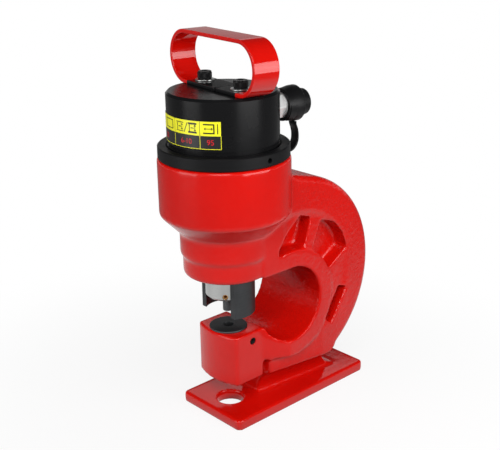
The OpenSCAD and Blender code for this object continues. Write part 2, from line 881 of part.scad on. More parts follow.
// The strap's flat section, set square to its route
module dust_strap() {
    last = len(strap_route) - 1;
    function aim(i) = strap_route[min(i + 1, last)] - strap_route[max(i - 1, 0)];
    function side(i) = [-aim(i)[1], aim(i)[0]] / norm(aim(i)) * strap_t / 2;
    function ring(i) = [for (k = [[-1, -1], [-1, 1], [1, 1], [1, -1]])
        [strap_side[i] + k[0] * strap_w / 2, -(strap_route[i] + k[1] * side(i))[1],
            (strap_route[i] + k[1] * side(i))[0]]];
    color(rubber) on_port() union() {
        loft([for (i = [0 : last]) ring(i)]);
        translate([0, 0, neck_s + strap_gap])
            tube(strap_ring_r, strap_seat_r + strap_gap, strap_seat_length - 2 * strap_gap);
    }
}

base_plate();
c_frame();
die();
die_screw();
rod_bush();
rod_wiper();
ram();
punch();
punch_screw();
piston();
piston_nut();
piston_seal();
wear_ring();
return_spring();
stripper();
stripper_screw();
lock_ring();
cylinder_cap();
label_plate();
handle();
handle_screw_left();
handle_screw_right();
handle_washer_left();
handle_washer_right();
port_seal();
coupler_adapter();
coupler_body();
coupler_spring();
coupler_poppet();
coupler_seal();
dust_cap();
dust_strap();
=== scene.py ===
"""Looks of a portable hydraulic hole punch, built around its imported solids.

The punch axis is the Z axis, the base plate stands on Z = 0, and the open front of the throat faces
-Y. All sizes are metres. Each operator makes one piece or one group of like pieces.
"""

import json
import math

import bmesh
import bpy
from bpy.props import FloatProperty, FloatVectorProperty, IntProperty, PointerProperty
from mathutils import Matrix, Vector


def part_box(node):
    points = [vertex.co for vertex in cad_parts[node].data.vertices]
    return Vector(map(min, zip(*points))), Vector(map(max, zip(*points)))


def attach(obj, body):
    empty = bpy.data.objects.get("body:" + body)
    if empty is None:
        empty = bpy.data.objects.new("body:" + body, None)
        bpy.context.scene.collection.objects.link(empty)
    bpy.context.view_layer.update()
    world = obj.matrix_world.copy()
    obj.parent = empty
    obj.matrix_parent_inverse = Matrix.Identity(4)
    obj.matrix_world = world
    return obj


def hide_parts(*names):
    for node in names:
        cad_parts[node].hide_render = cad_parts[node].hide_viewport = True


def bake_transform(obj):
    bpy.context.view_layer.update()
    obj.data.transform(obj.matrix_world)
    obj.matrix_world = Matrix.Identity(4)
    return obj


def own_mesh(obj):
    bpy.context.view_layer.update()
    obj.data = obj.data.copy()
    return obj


bl_info = {
    "name": "Hydraulic hole punch",
    "version": (1, 0, 0),
    "blender": (4, 5, 0),
    "location": "3D View > Sidebar > Hole punch",
    "description": "Dresses the solids of a hydraulic hole punch",
    "category": "Add Mesh",
}

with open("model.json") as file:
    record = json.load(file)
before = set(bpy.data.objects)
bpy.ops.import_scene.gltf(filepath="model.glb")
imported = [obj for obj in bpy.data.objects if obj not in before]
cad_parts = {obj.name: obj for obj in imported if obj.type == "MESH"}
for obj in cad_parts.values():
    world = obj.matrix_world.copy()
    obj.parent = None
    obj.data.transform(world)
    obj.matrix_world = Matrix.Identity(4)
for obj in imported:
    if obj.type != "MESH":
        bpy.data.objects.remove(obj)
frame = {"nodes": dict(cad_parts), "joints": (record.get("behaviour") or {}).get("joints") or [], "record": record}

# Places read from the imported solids
NODES = frame["nodes"]
JOINTS = {joint["name"]: joint for joint in frame["joints"]}
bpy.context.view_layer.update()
CAP_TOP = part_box("cylinder_cap")[1].z
CAP_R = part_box("cylinder_cap")[1].x
FOOT_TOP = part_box("handle_washer_left")[0].z
HANDLE_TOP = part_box("handle")[1].z
PLATE_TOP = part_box("base_plate")[1].z
FRAME_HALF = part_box("base_plate")[1].x
LABEL_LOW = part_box("label_plate")[0].z
LABEL_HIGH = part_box("label_plate")[1].z
PORT_WAY = Vector(JOINTS["dust_cap_pull"]["axis"])
PORT_Z = (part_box("coupler_seal")[0].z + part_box("coupler_seal")[1].z) / 2
HEAD = Matrix.Rotation(math.atan2(-PORT_WAY.x, PORT_WAY.y), 4, "Z")
PORT = HEAD @ Matrix.Translation((0, 0, PORT_Z)) @ Matrix.Rotation(-math.pi / 2, 4, "X")
SLUG_R = next(m["dims"]["r_mm"] for m in frame["record"]["mounts"] if m["name"] == "slug_hole") / 1000
# Centres of the throat and of the arc inside the rim of the C
THROAT = Vector((0, 0.0525, 0.1225))
RIM_CENTRE = Vector((0, 0.06, 0.1465))
# Set screws: the side that each hole opens to, and how far out its backing and its thread reach
SET_SCREWS = (("die_screw", 1, 0.0308, 0.0303), ("stripper_screw", -1, 0.0452, 0.0448))
# The coupler's neck and the middle of the dust cap's collar, along the port
NECK = 0.057
COLLAR = 0.0875
FULL_TURN = 2 * math.pi
# Points as near as this are one
CLOSE = 1e-6
# Height of the label's marks above its film, and thickness of its yellow print
INK = 0.0001
PRINT = 0.00006


def metres(label, text, value):
    """A length that the user can set."""
    return FloatProperty(name=label, description=text, default=value, unit="LENGTH")


def tone(label, text, *value):
    """A colour that the user can set."""
    return FloatVectorProperty(name=label, description=text, default=value, subtype="COLOR")


class PunchSizes(bpy.types.PropertyGroup):
    """Sizes of the soft edges and small forms that the solids leave plain"""

    cast_grid: metres("Casting grid", "Spacing of the casting's skin", 0.0018)
    cast_passes: IntProperty(
        name="Casting passes", description="Smoothing passes that round the casting's edges", default=7
    )
    rim_round: metres("Rim round", "Round of the outer rim of the C", 0.0075)
    panel_depth: metres("Panel depth", "Depth of the panel between the flange and the rim", 0.002)
    strip_edge: metres("Handle edge", "Round of the handle strip's edges", 0.0008)
    steel_edge: metres("Steel edge", "Round of the machined steel edges", 0.0004)
    strip_half: metres("Handle run", "Half length of the handle's straight runs", 0.049)
    strip_width: metres("Handle width", "Width of the handle's strip", 0.029)
    foot_reach: metres("Black feet", "How far out the handle's feet are black", 0.044)


class PunchColours(bpy.types.PropertyGroup):
    """Colours of the finishes"""

    red: tone("Red paint", "Gloss paint on the casting and the handle", 0.6, 0.004, 0.0015)
    black: tone("Black", "Satin black of the cap, the ring and the screws", 0.006, 0.006, 0.0065)
    dark_steel: tone("Dark steel", "Steel of the die and the punch", 0.085, 0.088, 0.092)
    bright_steel: tone("Bright steel", "Steel of the ram and the washers", 0.66, 0.67, 0.66)
    brass: tone("Brass", "Brass and bronze pieces", 0.52, 0.27, 0.1)
    rubber: tone("Rubber", "Dust cap, strap and seals", 0.006, 0.006, 0.0063)
    yellow: tone("Label yellow", "Yellow print on the label", 0.9, 0.87, 0.02)
    print_red: tone("Label red", "Red print on the label", 0.62, 0.012, 0.02)


class PunchStage(bpy.types.PropertyGroup):
    """Camera and light"""

    lens: FloatProperty(name="Lens", description="Focal length in millimetres", default=65.98)
    eye: FloatVectorProperty(
        name="Eye",
        description="Where the camera stands",
        subtype="XYZ",
        default=(0.68235, -0.59027, 0.53264),
    )
    turn: FloatVectorProperty(
        name="Turn",
        description="Azimuth, pitch and roll of the camera",
        subtype="EULER",
        default=(0.829724, 0.338899, -0.016103),
    )
    light: FloatProperty(name="Light", description="Strength of all lamps", default=1.0)


def colours():
    """The colours that the user set."""
    return bpy.context.scene.punch_colours


def sizes():
    """The sizes that the user set."""
    return bpy.context.scene.punch_sizes


# Meshes


def new_object(name, data):
    """Adds an object to the scene."""
    obj = bpy.data.objects.new(name, data)
    bpy.context.scene.collection.objects.link(obj)
    return obj


def as_object(name, bm, place=None):
    """Makes an object from a bmesh, moved to its place, and frees the bmesh."""
    if place is not None:
        bmesh.ops.transform(bm, matrix=place, verts=bm.verts)
    mesh = bpy.data.meshes.new(name)
    bm.to_mesh(mesh)
    bm.free()
    return new_object(name, mesh)


def shade(obj):
    """Shades a piece smooth, with sharp edges beyond 40 degrees, and evens out its normals."""
    obj.data.shade_smooth()
    obj.data.set_sharp_from_angle(angle=math.radians(40))
    evened = obj.modifiers.new("Even shading", "WEIGHTED_NORMAL")
    evened.keep_sharp = True


def mesh_made_of(obj):
    """A new mesh of an object as its modifiers or its curve make it."""
    depsgraph = bpy.context.evaluated_depsgraph_get()
    return bpy.data.meshes.new_from_object(obj.evaluated_get(depsgraph))


def settle(obj):
    """Replaces an object's mesh by what its modifiers make of it."""
    made = mesh_made_of(obj)
    obj.modifiers.clear()
    old = obj.data
    obj.data = made
    bpy.data.meshes.remove(old)


def curve_mesh(curve):
    """The mesh of a curve or of letters."""
    obj = new_object(curve.name, curve)
    mesh = mesh_made_of(obj)
    bpy.data.objects.remove(obj)
    return mesh


def cut(obj, cutter):
    """Takes a closed shape out of a closed piece."""
    trimming = obj.modifiers.new("Cut", "BOOLEAN")
    trimming.operation = "DIFFERENCE"
    trimming.solver = "MANIFOLD"
    trimming.object = cutter
    settle(obj)
    bpy.data.objects.remove(cutter)


def put(obj, body, slot, material, *nodes):
    """Gives a piece its finish, its body and the solids that it stands for. Its slot is not used."""
    obj.data.materials.clear()
    obj.data.materials.append(material)
    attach(obj, body)
    if nodes:
        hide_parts(*nodes)


def copy_of(*nodes):
    """Merged copies of solids as one bmesh."""
    bm = bmesh.new()
    for node in nodes:
        bm.from_mesh(NODES[node].data)
    bmesh.ops.remove_doubles(bm, verts=bm.verts, dist=CLOSE)
    return bm


def join_flats(bm):
    """Joins faces that lie in one plane."""
    bmesh.ops.dissolve_limit(bm, angle_limit=math.radians(0.5), verts=bm.verts, edges=bm.edges)


def sharp_edges(bm, angle):
    """Edges that turn by more than an angle in degrees."""
    return [e for e in bm.edges if e.calc_face_angle(0) > math.radians(angle)]


def bevel(bm, geom, offset, segments, affect="EDGES", clamp=False):
    """Rounds edges or corners."""
    options = {"profile": 0.5, "affect": affect, "clamp_overlap": clamp, "material": -1}
    bmesh.ops.bevel(bm, geom=geom, offset=offset, segments=segments, **options)


def of_kind(geom, kind):
    """The vertices, edges or faces among the results of a bmesh operation."""
    return [g for g in geom if isinstance(g, kind)]


def fill_holes(bm):
    """Closes every open end."""
    bmesh.ops.holes_fill(bm, edges=[e for e in bm.edges if e.is_boundary], sides=0)


def face_out(bm):
    """Turns every face outwards."""
    bmesh.ops.recalc_face_normals(bm, faces=bm.faces)


def eased(node, edge):
    """A copy of a solid whose sharp edges are rounded."""
    bm = copy_of(node)
    join_flats(bm)
    bevel(bm, sharp_edges(bm, angle=30), edge, segments=2, clamp=True)
    bmesh.ops.dissolve_degenerate(bm, dist=CLOSE, edges=bm.edges)
    obj = as_object(node + "_eased", bm)
    shade(obj)
    return obj


def spin(bm, geom, centre, axis, angle, steps, merge=False):
    """Turns an outline or a face about an axis and gives its last place."""
    made = bmesh.ops.spin(
        bm, geom=geom, cent=centre, axis=axis, angle=angle, steps=steps, use_merge=merge
    )
    return made["geom_last"]


def turned(outline, steps=96, closed=True):
    """Spins an outline of (radius, height, round) corners about Z as a bmesh."""
    bm = bmesh.new()
    corners = [bm.verts.new((r, 0, z)) for r, z, _ in outline]
    ends = corners[1:] + corners[:1] if closed else corners[1:]
    for a, b in zip(corners, ends):
        bm.edges.new((a, b))
    for corner, (_, _, bend) in zip(corners, outline):
        if bend:
            bevel(bm, [corner], bend, segments=4, affect="VERTICES")
    spin(bm, bm.verts[:] + bm.edges[:], (0, 0, 0), (0, 0, 1), FULL_TURN, steps, merge=True)
    bmesh.ops.remove_doubles(bm, verts=bm.verts, dist=CLOSE)
    face_out(bm)
    return bm


def rod(bm, radius, length, place):
    """Adds a plain rod from the origin of place along its Z."""
    middle = place @ Matrix.Translation((0, 0, length / 2))
    bmesh.ops.create_cone(
        bm, cap_ends=True, segments=48, radius1=radius, radius2=radius, depth=length, matrix=middle
    )


def screw_hole(node, way, outside):
    """The place of a set screw's inner or outer end, with Z out of its hole, and its radius."""
    low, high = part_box(node)
    end = high.x if outside == (way > 0) else low.x
    place = Matrix.Translation((end, (low.y + high.y) / 2, (low.z + high.z) / 2))
    return place @ Matrix.Rotation(way * math.pi / 2, 4, "Y"), (high.z - low.z) / 2


# Materials


def link(source, target):
    """Joins two sockets."""
    target.id_data.links.new(source, target)


def feed(target, value):
    """Gives an input a value, or the output of another node."""
    if isinstance(value, bpy.types.NodeSocket):
        link(value, target)
    else:
        target.default_value = value


def shader_node(tree, kind, group=None, **values):
    """Adds a node and feeds its inputs by name."""
    made = tree.nodes.new(kind)
    if group:
        made.node_tree = group
    for name, value in values.items():
        feed(made.inputs[name.replace("_", " ")], value)
    return made


def maths(operation, a, b=0.0):
    """A maths node on sockets or numbers, and its result."""
    tree = (a if isinstance(a, bpy.types.NodeSocket) else b).id_data
    made = tree.nodes.new("ShaderNodeMath")
    made.operation = operation
    for target, value in zip(made.inputs, (a, b)):
        feed(target, value)
    return made.outputs[0]


def mix(share, a, b, kind="RGBA"):
    """A mix of two colours or numbers."""
    made = share.id_data.nodes.new("ShaderNodeMix")
    made.data_type = kind
    for name, value in (("Factor", share), ("A", a), ("B", b)):
        feed(made.inputs[name], value)
    return made.outputs["Result"]


def map_range(value, **ends):
    """A node that maps a value from one range to another."""
    return shader_node(value.id_data, "ShaderNodeMapRange", Value=value, **ends)


def ramp(value, start, end, low, high):
    """A soft ramp from low to high while a value runs from start to end."""
    made = map_range(value, From_Min=start, From_Max=end, To_Min=low, To_Max=high)
    made.interpolation_type = "SMOOTHSTEP"
    return made.outputs["Result"]


def noise(place, scale, detail, roughness):
    """Cloudy noise."""
    made = shader_node(
        place.id_data, "ShaderNodeTexNoise", Vector=place, Scale=scale, Detail=detail, Roughness=roughness
    )
    return made.outputs["Fac"]


def axes_of(vector):
    """The X, Y and Z of a vector."""
    return shader_node(vector.id_data, "ShaderNodeSeparateXYZ", Vector=vector).outputs


def facing_up(place, walls, tops):
    """A value that runs from that of walls to that of faces which look up."""
    normal = place.id_data.nodes.new("ShaderNodeNewGeometry").outputs["Normal"]
    return ramp(axes_of(normal)["Z"], 0.6, 0.9, walls, tops)


def turned_place(place, turn):
    """Object coordinates as seen from another place."""
    shift = turn.to_translation()
    made = shader_node(
        place.id_data, "ShaderNodeMapping", Vector=place, Location=shift, Rotation=turn.to_euler()
    )
    made.vector_type = "TEXTURE"
    return made.outputs["Vector"]


def new_group(name, inputs, outputs):
    """An empty shader group, the inputs that it is given and the outputs to feed."""
    tree = bpy.data.node_groups.new(name, "ShaderNodeTree")
    for way, sockets in (("INPUT", inputs), ("OUTPUT", outputs)):
        for label, kind in sockets.items():
            tree.interface.new_socket(label, in_out=way, socket_type="NodeSocket" + kind)
    given = tree.nodes.new("NodeGroupInput").outputs
    return tree, given, tree.nodes.new("NodeGroupOutput").inputs


def mottle_group():
    """Slow changes of colour and gloss over a surface."""
    inputs = {"Vector": "Vector", "Scale": "Float", "Light": "Color", "Dark": "Color"}
    inputs.update({"Smooth": "Float", "Rough": "Float"})
    tree, given, out = new_group("Mottle", inputs, {"Color": "Color", "Roughness": "Float"})
    clouds = noise(given["Vector"], given["Scale"], detail=4.0, roughness=0.6)
    spread = map_range(clouds, From_Min=0.3, From_Max=0.7).outputs["Result"]
    link(mix(spread, given["Light"], given["Dark"]), out["Color"])
    link(mix(spread, given["Smooth"], given["Rough"], "FLOAT"), out["Roughness"])
    return tree


def grain_group():
    """Two sizes of grain as one height, for cast skin, paint peel and moulded rubber."""
    inputs = {"Vector": "Vector"}
    inputs.update({label: "Float" for label in ("Fine Scale", "Coarse Scale", "Coarse Share")})
    tree, given, out = new_group("Grain", inputs, {"Height": "Float"})
    fine = noise(given["Vector"], given["Fine Scale"], detail=2.0, roughness=0.5)
    coarse = noise(given["Vector"], given["Coarse Scale"], detail=3.0, roughness=0.55)
    swell = maths("MULTIPLY", coarse, given["Coarse Share"])
    link(maths("ADD", fine, swell), out["Height"])
    return tree


def tool_mark_group():
    """Fine rings around the Z of its vector, as a lathe or a grinder leaves them."""
    inputs = {"Vector": "Vector", "Pitch": "Float"}
    tree, given, out = new_group("Tool marks", inputs, {"Height": "Float"})
    squeeze = shader_node(
        tree, "ShaderNodeMapping", Vector=given["Vector"], Scale=(8.0, 8.0, 1000.0)
    )
    rings = noise(squeeze.outputs["Vector"], given["Pitch"], detail=3.0, roughness=0.65)
    link(rings, out["Height"])
    return tree


def group_node(place, name, maker, **values):
    """Places a shared group in a material, and builds the group on first use."""
    group = bpy.data.node_groups.get(name) or maker()
    return shader_node(place.id_data, "ShaderNodeGroup", group, Vector=place, **values).outputs


def new_material(name):
    """A material with its Principled shader and its object coordinates."""
    material = bpy.data.materials.new(name)
    material.use_nodes = True
    tree = material.node_tree
    place = tree.nodes.new("ShaderNodeTexCoord").outputs["Object"]
    return material, tree.nodes["Principled BSDF"].inputs, place


def scaled(colour, share):
    """A colour made lighter or darker."""
    return [c * share for c in colour]


def tint(colour, share):
    """A colour made lighter or darker, with its alpha."""
    return (*scaled(colour, share), 1.0)


def dress(surface, place, light, dark, smooth, rough, scale=14.0):
    """Mottled base colour and gloss."""
    looks = {"Light": light, "Dark": dark, "Smooth": smooth, "Rough": rough}
    mottle = group_node(place, "Mottle", mottle_group, Scale=scale, **looks)
    link(mottle["Color"], surface["Base Color"])
    link(mottle["Roughness"], surface["Roughness"])


def fed_by(socket):
    """The output that feeds an input."""
    return socket.links[0].from_socket


def emboss(surface, height, strength, depth):
    """Feeds a height into the surface's normal."""
    bump = shader_node(height.id_data, "ShaderNodeBump", Strength=strength, Distance=depth, Height=height)
    link(bump.outputs["Normal"], surface["Normal"])
    return bump.inputs["Height"]


def grain(place, fine, coarse, share):
    """The height of two sizes of grain."""
    scales = {"Fine_Scale": fine, "Coarse_Scale": coarse, "Coarse_Share": share}
    return group_node(place, "Grain", grain_group, **scales)["Height"]


def gloss_red(name, peel, shine, smooth, rough):
    """Gloss red paint with a little orange peel."""
    material, surface, place = new_material(name)
    red = colours().red
    dress(surface, place, tint(red, 1.06), tint(red, 0.92), smooth, rough)
    surface["Specular IOR Level"].default_value = shine
    skin = emboss(surface, grain(place, 420.0, 150.0, 2.4), 0.5, peel)
    return material, surface, place, skin


def cast_red(name):
    """Gloss red paint over a casting that is raw behind the throat and smoothed elsewhere."""
    full = 0.34
    material, surface, place, skin = gloss_red(name, peel=0.0006, shine=full, smooth=0.15, rough=0.24)
    axes = axes_of(place)
    # Cast skin behind the throat, and a plate that is nearly smooth
    raw = ramp(axes["Y"], 0.02, 0.075, 0.25, 1.0)
    plate = ramp(axes["Z"], PLATE_TOP + 0.001, PLATE_TOP + 0.02, 0.2, 1.0)
    rough = maths("MULTIPLY", raw, plate)
    link(maths("MULTIPLY", fed_by(skin), rough), skin)
    # Thick paint on the plate
    flow = ramp(axes["Z"], PLATE_TOP + 0.0002, PLATE_TOP + 0.002, 0.5, 1.0)
    gloss = surface["Roughness"]
    link(maths("MULTIPLY", fed_by(gloss), flow), gloss)
    # Less shine inside the throat, low on the pedestal and on top of the C
    sides = [maths("SUBTRACT", axes[way], middle) for way, middle in zip("YZ", THROAT.yz)]
    squares = [maths("MULTIPLY", side, side) for side in sides]
    reach = maths("SQRT", maths("ADD", *squares))
    shine = ramp(reach, 0.0435, 0.0465, 0.14, full)
    low = ramp(axes["Z"], PLATE_TOP + 0.0004, PLATE_TOP + 0.002, 1.0, 0.35)
    high = ramp(axes["Z"], 0.035, 0.06, 0.35, 1.0)
    shine = maths("MULTIPLY", shine, maths("MAXIMUM", low, high))
    above = ramp(axes["Z"], 0.18, 0.22, 0.0, 1.0)
    crown = maths("MULTIPLY", facing_up(place, 0.0, 0.75), above)
    shine = maths("MULTIPLY", shine, maths("SUBTRACT", 1.0, crown))
    link(shine, surface["Specular IOR Level"])
    return material


def satin_black(name, smooth, rough):
    """Satin black oxide."""
    material, surface, place = new_material(name)
    black = colours().black
    dress(surface, place, tint(black, 1.15), tint(black, 0.85), smooth, rough, scale=30.0)
    surface["Specular IOR Level"].default_value = 0.14
    emboss(surface, grain(place, 900.0, 120.0, 0.5), 0.25, 0.0001)
    return material


def turned_metal(name, colour, smooth, rough, pitch, port=False):
    """Turned or ground metal with rings around its axis."""
    material, surface, place = new_material(name)
    if port:
        place = turned_place(place, PORT)
    surface["Metallic"].default_value = 1.0
    dress(surface, place, tint(colour, 1.05), tint(colour, 0.86), smooth, rough, scale=40.0)
    marks = group_node(place, "Tool marks", tool_mark_group, Pitch=pitch)["Height"]
    even = maths("MULTIPLY", fed_by(surface["Roughness"]), 0.6)
    gloss = maths("ADD", even, maths("MULTIPLY", marks, rough))
    link(gloss, surface["Roughness"])
    emboss(surface, marks, 0.18, 0.00008)
    return material


def moulded_rubber(name):
    """Black moulded rubber with a fine matt skin."""
    material, surface, place = new_material(name)
    black = colours().rubber
    dress(surface, place, tint(black, 1.3), tint(black, 0.8), 0.32, 0.46, scale=60.0)
    surface["Specular IOR Level"].default_value = 0.17
    emboss(surface, grain(place, 1400.0, 260.0, 0.7), 0.3, 0.00012)
    return material


def printed(name, colour):
    """Print on film, a little uneven in its ink."""
    material, surface, place = new_material(name)
    dress(surface, place, tint(colour, 1.03), tint(colour, 0.94), 0.3, 0.42, scale=300.0)
    emboss(surface, grain(place, 3000.0, 700.0, 0.5), 0.12, 0.00005)
    return material


def finish(name):
    """The material of that name, made on first use."""
    found = bpy.data.materials.get(name)
    if found:
        return found
    steel = colours().bright_steel
    dark = colours().dark_steel
    brass = colours().brass
    makers = {
        "casting_red": (cast_red,),
        "cap_black": (satin_black, 0.2, 0.3),
        "ring_black": (satin_black, 0.36, 0.48),
        "screw_black": (satin_black, 0.28, 0.4),
        "tool_dark": (turned_metal, dark, 0.36, 0.5, 1.2),
        "stripper_dark": (turned_metal, scaled(dark, 0.65), 0.36, 0.5, 0.8),
        "ram_bright": (turned_metal, scaled(steel, 0.7), 0.2, 0.32, 1.6),
        "washer_bright": (turned_metal, scaled(steel, 0.6), 0.22, 0.3, 0.9),
        "spring_grey": (turned_metal, scaled(dark, 2), 0.3, 0.42, 0.6),
        "coupler_bright": (turned_metal, (0.97, 0.97, 0.96), 0.36, 0.48, 1.4, True),
        "screw_brass": (turned_metal, brass, 0.28, 0.4, 0.9),
        "poppet_brass": (turned_metal, brass, 0.25, 0.36, 0.9, True),
        "black_rubber": (moulded_rubber,),
        "film_black": (printed, (0.011, 0.0105, 0.011)),
        "ink_yellow": (printed, colours().yellow),
        "ink_red": (printed, colours().print_red),
        "ink_black": (printed, (0.016, 0.015, 0.006)),
    }
    maker, *values = makers[name]
    return maker(name, *values)


class PUNCH_OT_stage(bpy.types.Operator):
    """Camera, lamps, world and floor"""

    bl_idname = "punch.stage"
    bl_label = "Stage"

    def execute(self, context):
        stage = context.scene.punch_stage
        azimuth, pitch, roll = stage.turn
        level = math.cos(pitch)
        ahead = Vector((-math.sin(azimuth) * level, math.cos(azimuth) * level, -math.sin(pitch)))
        right = ahead.cross(Vector((0, 0, 1))).normalized()
        up = right.cross(ahead)
        axis_x = right * math.cos(roll) + up * math.sin(roll)
        axis_y = up * math.cos(roll) - right * math.sin(roll)
        lens = bpy.data.cameras.new("camera")
        lens.lens = stage.lens
        lens.sensor_width = 36.0
        camera = new_object("camera", lens)
        basis = Matrix((axis_x, axis_y, -ahead)).transposed().to_4x4()
        camera.matrix_world = Matrix.Translation(stage.eye) @ basis
        context.scene.camera = camera
        context.scene.view_settings.view_transform = "Standard"
        for name, place, aim, size, power in (
            ("right_box", (0.69, 0.13, 0.405), (0, 0.03, 0.3), (0.6, 0.41), 4.2),
            ("left_box", (-0.35, -1.35, 0.5), (0, 0, 0.22), (0.95, 1.0), 9.5),
            ("front_box", (0.8, -0.95, 1.3), (0, 0.05, 0.2), (0.8, 0.8), 16.5),
            ("back_box", (-1.0, 0.97, 0.86), (0, 0.05, 0.05), (1.0, 0.3), 0.8),
        ):
            lamp = bpy.data.lights.new(name, "AREA")
            lamp.shape = "RECTANGLE"
            lamp.size, lamp.size_y = size
            lamp.energy = power * stage.light
            obj = new_object(name, lamp)
            obj.visible_camera = False
            obj.location = place
            obj.rotation_euler = (Vector(aim) - Vector(place)).to_track_quat("-Z", "Y").to_euler()
        self.light_world(context.scene)
        self.lay_floor()
        return {"FINISHED"}

    def light_world(self, scene):
        """A sweep that the camera sees white, and that dims overhead in reflections and light."""
        world = bpy.data.worlds.new("studio")
        world.use_nodes = True
        scene.world = world
        tree = world.node_tree
        back = tree.nodes["Background"].inputs
        back["Color"].default_value = (1, 1, 1, 1)
        way = tree.nodes.new("ShaderNodeTexCoord").outputs["Generated"]
        glow = ramp(axes_of(way)["Z"], 0.0, 0.22, 1.0, 0.06)
        path = tree.nodes.new("ShaderNodeLightPath").outputs
        link(maths("MAXIMUM", glow, path["Is Camera Ray"]), back["Strength"])

    def lay_floor(self):
        """A pale floor that keeps the shadow and runs out to plain white."""
        bm = bmesh.new()
        bmesh.ops.create_circle(bm, cap_ends=True, segments=96, radius=14.0)
        floor = as_object("floor", bm)
        material, surface, place = new_material("floor_pale")
        tree = material.node_tree
        surface["Roughness"].default_value = 0.7
        surface["Specular IOR Level"].default_value = 0.1
        length = tree.nodes.new("ShaderNodeVectorMath")
        length.operation = "LENGTH"
        link(place, length.inputs[0])
        reach = length.outputs["Value"]
        path = tree.nodes.new("ShaderNodeLightPath").outputs
        table = ramp(reach, 0.3, 0.7, 1.0, 0.15)
        mirrored = maths("MULTIPLY", path["Is Glossy Ray"], table)
        seen = maths("MAXIMUM", path["Is Camera Ray"], mirrored)
        seen = maths("MAXIMUM", seen, path["Is Transmission Ray"])
        pale = mix(seen, (0.12, 0.12, 0.12, 1), (0.9, 0.9, 0.9, 1))
        link(pale, surface["Base Color"])
        fade = ramp(reach, 0.1, 0.5, 0.85, 1.0)
        white = shader_node(tree, "ShaderNodeEmission", Strength=1.0)
        blend = tree.nodes.new("ShaderNodeMixShader")
        link(maths("MULTIPLY", seen, fade), blend.inputs["Fac"])
        link(tree.nodes["Principled BSDF"].outputs["BSDF"], blend.inputs[1])
        link(white.outputs["Emission"], blend.inputs[2])
        link(blend.outputs["Shader"], tree.nodes["Material Output"].inputs["Surface"])
        floor.data.materials.append(material)


class PUNCH_OT_casting(bpy.types.Operator):
    """Base plate and frame as one painted casting with soft edges"""

    bl_idname = "punch.casting"
    bl_label = "Casting"

    def execute(self, context):
        slip = 0.0001
        backing = 1.3
        drill = 0.04
        bm = copy_of("base_plate", "c_frame")
        self.round_rim(bm)
        holes = bmesh.new()
        for node, way, reach, _ in SET_SCREWS:
            place, radius = screw_hole(node, way, False)
            radius += slip
            rod(bm, radius * backing, reach - abs(place.translation.x), place)
            rod(holes, radius, drill, place)
        inset = 0.0002
        plug = 1.06
        rod(bm, SLUG_R * plug, PLATE_TOP - 2 * inset, Matrix.Translation((0, 0, inset)))
        casting = as_object("casting", bm)
        skin = casting.modifiers.new("Skin", "REMESH")
        skin.mode = "VOXEL"
        skin.voxel_size = sizes().cast_grid
        settle(casting)
        self.sink_panel(casting.data)
        soft = casting.modifiers.new("Soft edges", "SMOOTH")
        soft.factor = 0.5
        soft.iterations = sizes().cast_passes
        settle(casting)
        cut(casting, as_object("screw_holes", holes))
        edge = 0.0009
        mouth = SLUG_R + 2 * edge
        outline = [(0, -edge, 0), (mouth, -edge, 0), (SLUG_R, edge, 0), (SLUG_R, PLATE_TOP - edge, 0)]
        outline += [(mouth, PLATE_TOP + edge, 0), (0, PLATE_TOP + edge, 0)]
        cut(casting, as_object("slug_hole", turned(outline, closed=False)))
        bm = bmesh.new()
        bm.from_mesh(casting.data)
        bmesh.ops.dissolve_degenerate(bm, dist=CLOSE, edges=bm.edges)
        bm.to_mesh(casting.data)
        bm.free()
        casting.data.shade_smooth()
        casting.data.set_sharp_from_angle(angle=math.radians(50))
        put(casting, "frame", "frame_red", finish("casting_red"), "base_plate", "c_frame")
        return {"FINISHED"}

    def sink_panel(self, mesh):
        """Sinks a shallow panel between the throat's flange and the rim, on both sides."""
        flange = 0.0622
        rim = 0.0795
        step = 0.0012
        front = 0.036
        hold = 0.005
        depth = sizes().panel_depth
        for vertex in mesh.vertices:
            below = FRAME_HALF - abs(vertex.co.x)
            if not -step < below < hold:
                continue
            inner = (vertex.co - THROAT).yz.length - flange
            outer = rim - (vertex.co - RIM_CENTRE).yz.length
            share = self.soft(inner / step) * self.soft(outer / (3 * step))
            share *= self.soft((vertex.co.y - front) / (8 * step)) * self.soft((hold - below) / hold)
            vertex.co.x -= math.copysign(depth * share, vertex.co.x)

    def soft(self, share):
        """A smooth step from 0 to 1."""
        share = max(0.0, min(1.0, share))
        return share * share * (3 - 2 * share)

    def round_rim(self, bm):
        """Rounds the outer rim of the C on both sides."""
        join_flats(bm)
        reach = 0.088
        foot = 0.05
        flush = 1e-5
        rim = []
        for edge in bm.edges:
            if any(abs(abs(v.co.x) - FRAME_HALF) > flush for v in edge.verts):
                continue
            way = (edge.verts[0].co + edge.verts[1].co) / 2
            if way.z < foot or (way - THROAT).yz.length < reach:
                continue
            way = way - THROAT
            way.x = 0
            if any(abs(f.normal.x) < 0.5 and f.normal.dot(way) > 0 for f in edge.link_faces):
                rim.append(edge)
        bevel(bm, rim, sizes().rim_round, segments=5)


